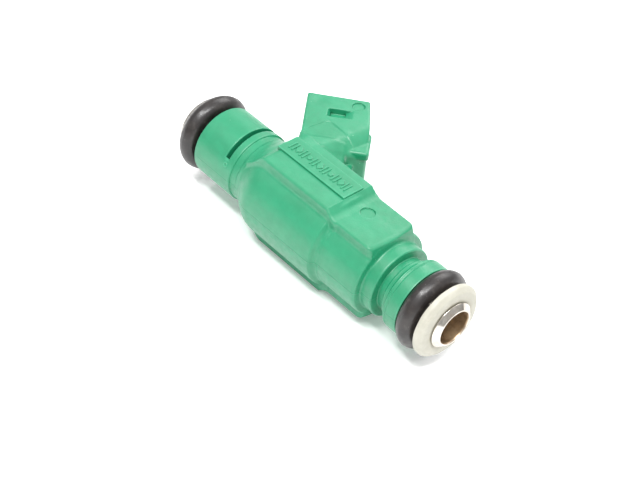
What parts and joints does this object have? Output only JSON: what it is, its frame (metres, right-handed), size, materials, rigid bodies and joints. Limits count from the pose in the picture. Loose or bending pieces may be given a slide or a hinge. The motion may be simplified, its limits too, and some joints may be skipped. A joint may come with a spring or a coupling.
{
  "type": "fuel injector",
  "caption": "Top-feed port fuel injector: a moulded body with a leaning plug socket, a seal ring at each end, and a spring-closed solenoid needle valve inside.",
  "frame": {"origin": "centre of the outlet seal ring, on the fuel axis", "axes": "+X runs along the fuel axis towards the outlet, +Y is the side the connector leaves on, +Z is normal to the pad with the raised panel"},
  "size_m": [0.0653, 0.031, 0.0191],
  "materials": {
    "moulding": "glass-filled moulded plastic, soft sheen, light scuffs",
    "seal": "moulded fluorocarbon rubber, slight oil sheen",
    "pipe": "turned stainless steel",
    "filter_brass": "drawn brass",
    "filter_plastic": "moulded nylon",
    "screen": "fine woven steel screen",
    "spring": "spring wire",
    "bobbin": "moulded plastic",
    "copper": "enamelled copper wire",
    "iron": "zinc plated magnetic iron",
    "terminal": "tin plated copper alloy",
    "valve_steel": "ground stainless steel",
    "tip_steel": "bright drawn steel with heat tint",
    "retainer": "moulded cream plastic"
  },
  "bodies": {
    "injector_body": {"overmoulded_body": "moulding", "inlet_pipe_and_core": "pipe", "upper_seal_ring": "seal", "lower_seal_ring": "seal", "filter_collar": "filter_brass", "filter_cage": "filter_plastic", "filter_screen": "screen", "spring_setting_sleeve": "valve_steel", "return_spring": "spring", "coil_bobbin": "bobbin", "coil_winding": "copper", "winding_lead_left": "copper", "winding_lead_right": "copper", "magnetic_yoke": "iron", "upper_yoke_plate": "iron", "gap_ring": "valve_steel", "terminal_left": "terminal", "terminal_right": "terminal", "coil_seal_upper": "seal", "coil_seal_lower": "seal", "valve_body": "valve_steel", "nozzle_sleeve": "tip_steel", "needle_guide": "valve_steel", "valve_seat": "valve_steel", "spray_disc": "valve_steel", "retaining_ring": "retainer"},
    "needle_assembly": {"armature": "valve_steel", "needle_tube": "valve_steel", "valve_ball": "valve_steel"}
  },
  "joints": [
    {"name": "needle_lift", "type": "slide", "parent": "injector_body", "child": "needle_assembly", "axis": [-1, 0, 0], "range_m": [0, 0.0001], "stiffness_N_per_m": 5000, "springref_m": -0.0008, "deforming": ["return_spring"]}
  ]
}
